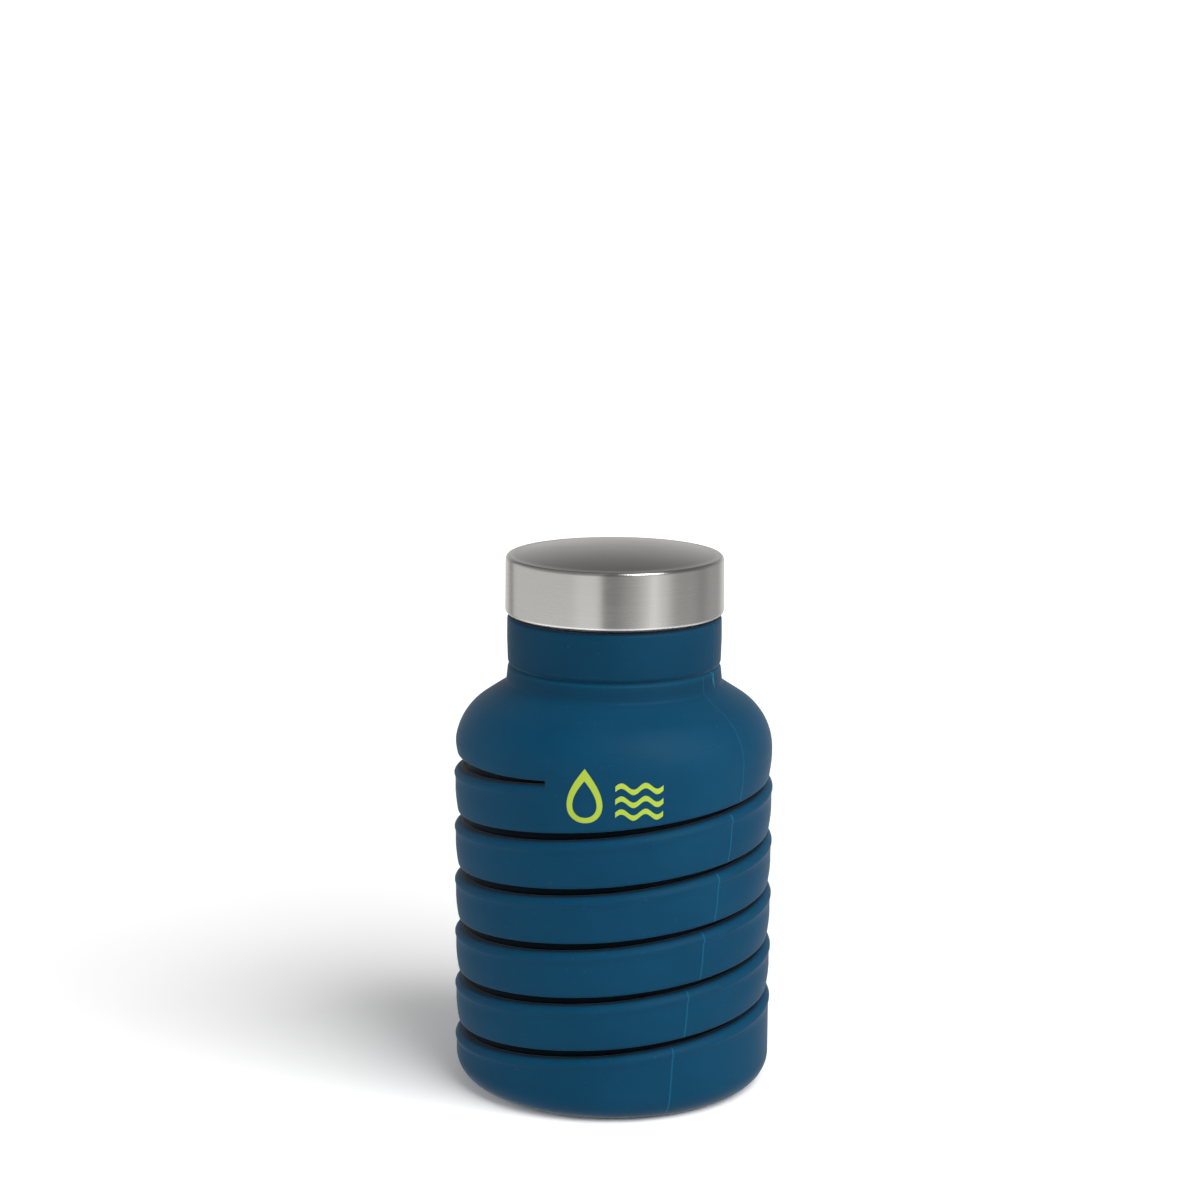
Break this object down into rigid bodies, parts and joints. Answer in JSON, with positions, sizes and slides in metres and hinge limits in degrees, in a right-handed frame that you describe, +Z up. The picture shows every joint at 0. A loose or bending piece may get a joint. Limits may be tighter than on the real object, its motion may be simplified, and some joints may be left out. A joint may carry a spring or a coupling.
{
  "type": "folding water bottle",
  "caption": "Collapsible silicone bottle with a spiral groove wall that shortens like a bellows, a threaded neck insert and a steel-clad screw cap.",
  "frame": {"origin": "centre of the flat underside of the base, on the bottle's axis", "axes": "+Z up along the bottle's axis, towards the cap; -Y is the front"},
  "size_m": [0.0752, 0.0752, 0.1291],
  "materials": {
    "silicone_body": "matte dark teal-blue silicone",
    "insert_plastic": "moulded, dark",
    "liner_plastic": "moulded, dark",
    "brushed_steel": "brushed round the axis",
    "seal_rubber": "soft, pale grey"
  },
  "bodies": {
    "base": {"base_cup": "silicone_body"},
    "coil_1": {"coil_1": "silicone_body"},
    "coil_2": {"coil_2": "silicone_body"},
    "coil_3": {"coil_3": "silicone_body"},
    "coil_4": {"coil_4": "silicone_body"},
    "coil_5": {"coil_5": "silicone_body"},
    "neck": {"shoulder_neck": "silicone_body", "neck_insert": "insert_plastic"},
    "seal": {"seal_ring": "seal_rubber"},
    "cap": {"cap_liner": "liner_plastic", "cap_shell": "brushed_steel"}
  },
  "joints": [
    {"name": "collapse", "type": "slide", "parent": "base", "child": "neck", "axis": [0, 0, 1], "range_m": [-0.042, 0]},
    {"name": "fold_1", "type": "slide", "parent": "base", "child": "coil_1", "axis": [0, 0, 1], "range_m": [-0.009, 0], "deforming": ["coil_1"]},
    {"name": "fold_2", "type": "slide", "parent": "base", "child": "coil_2", "axis": [0, 0, 1], "range_m": [-0.0155, 0], "deforming": ["coil_2"]},
    {"name": "fold_3", "type": "slide", "parent": "base", "child": "coil_3", "axis": [0, 0, 1], "range_m": [-0.022, 0], "deforming": ["coil_3"]},
    {"name": "fold_4", "type": "slide", "parent": "base", "child": "coil_4", "axis": [0, 0, 1], "range_m": [-0.0285, 0], "deforming": ["coil_4"]},
    {"name": "fold_5", "type": "slide", "parent": "base", "child": "coil_5", "axis": [0, 0, 1], "range_m": [-0.035, 0], "deforming": ["coil_5"]},
    {"name": "cap_lift", "type": "slide", "parent": "neck", "child": "seal", "axis": [0, 0, 1], "range_m": [0, 0.0241]},
    {"name": "cap_turn", "type": "hinge", "parent": "seal", "child": "cap", "pos_m": [0, 0, 0.119], "axis": [0, 0, 1], "range_deg": [0, 1080]}
  ],
  "couplings": [
    {"joint": "fold_1", "follows": "collapse", "ratio": 0.2048},
    {"joint": "fold_2", "follows": "collapse", "ratio": 0.3566},
    {"joint": "fold_3", "follows": "collapse", "ratio": 0.5095},
    {"joint": "fold_4", "follows": "collapse", "ratio": 0.6638},
    {"joint": "fold_5", "follows": "collapse", "ratio": 0.8193},
    {"joint": "cap_lift", "follows": "cap_turn", "m_per_rad": 0.0012732}
  ]
}
